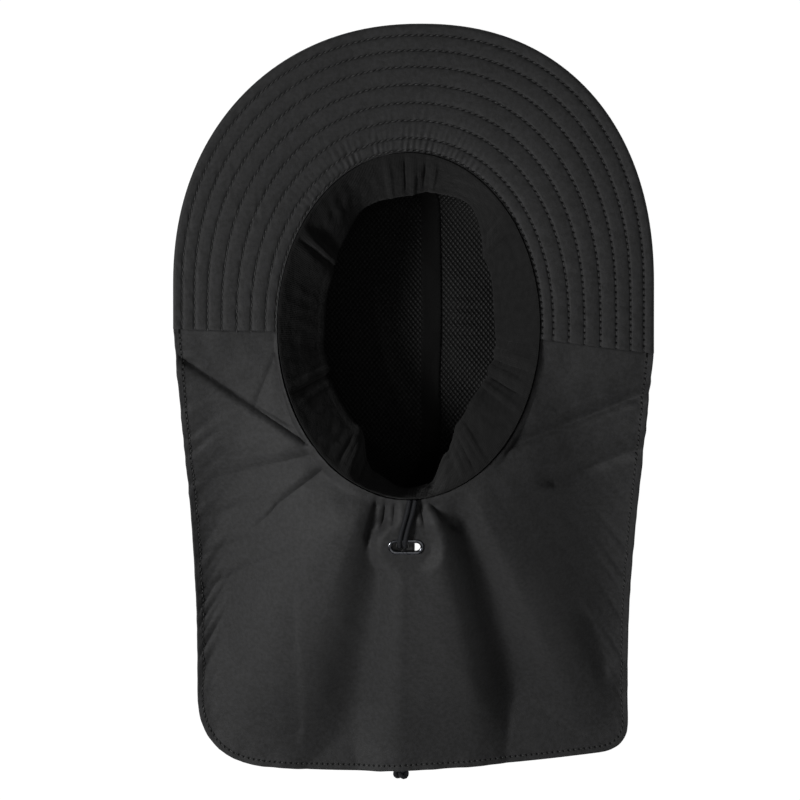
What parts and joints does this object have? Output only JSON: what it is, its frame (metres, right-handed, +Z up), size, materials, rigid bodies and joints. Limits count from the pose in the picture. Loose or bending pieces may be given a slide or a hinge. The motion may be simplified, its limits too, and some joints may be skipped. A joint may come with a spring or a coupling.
{
  "type": "flap sun hat",
  "caption": "Cloth sun hat lying on its crown: stitched front brim, long neck flap, mesh-lined crown, gathered sweatband, and a draw cord through an oblong eyelet.",
  "frame": {"origin": "the floor point straight under the middle of the head opening, on the flat of the crown's tip, with the hat lying upside down", "axes": "+Z up out of the head opening, +Y towards the front brim, -Y towards the neck flap's hem, +X to the right as seen from above"},
  "size_m": [0.2888, 0.467, 0.0995],
  "materials": {
    "shell_cloth": "black nylon plain weave, faint sheen",
    "lining_mesh": "black open mesh",
    "tape": "black woven tape",
    "band_cloth": "black soft knit",
    "eyelet_metal": "dark nickel",
    "cord": "braided cord",
    "lock_plastic": "moulded, matte"
  },
  "bodies": {
    "root": {"crown_shell": "shell_cloth", "mesh_lining": "lining_mesh", "seam_tape": "tape", "sweatband": "band_cloth", "brim": "shell_cloth", "neck_flap": "shell_cloth", "eyelet": "eyelet_metal", "draw_cord_left": "cord", "draw_cord_right": "cord", "cord_lock": "lock_plastic", "cord_knot": "cord"}
  },
  "joints": []
}
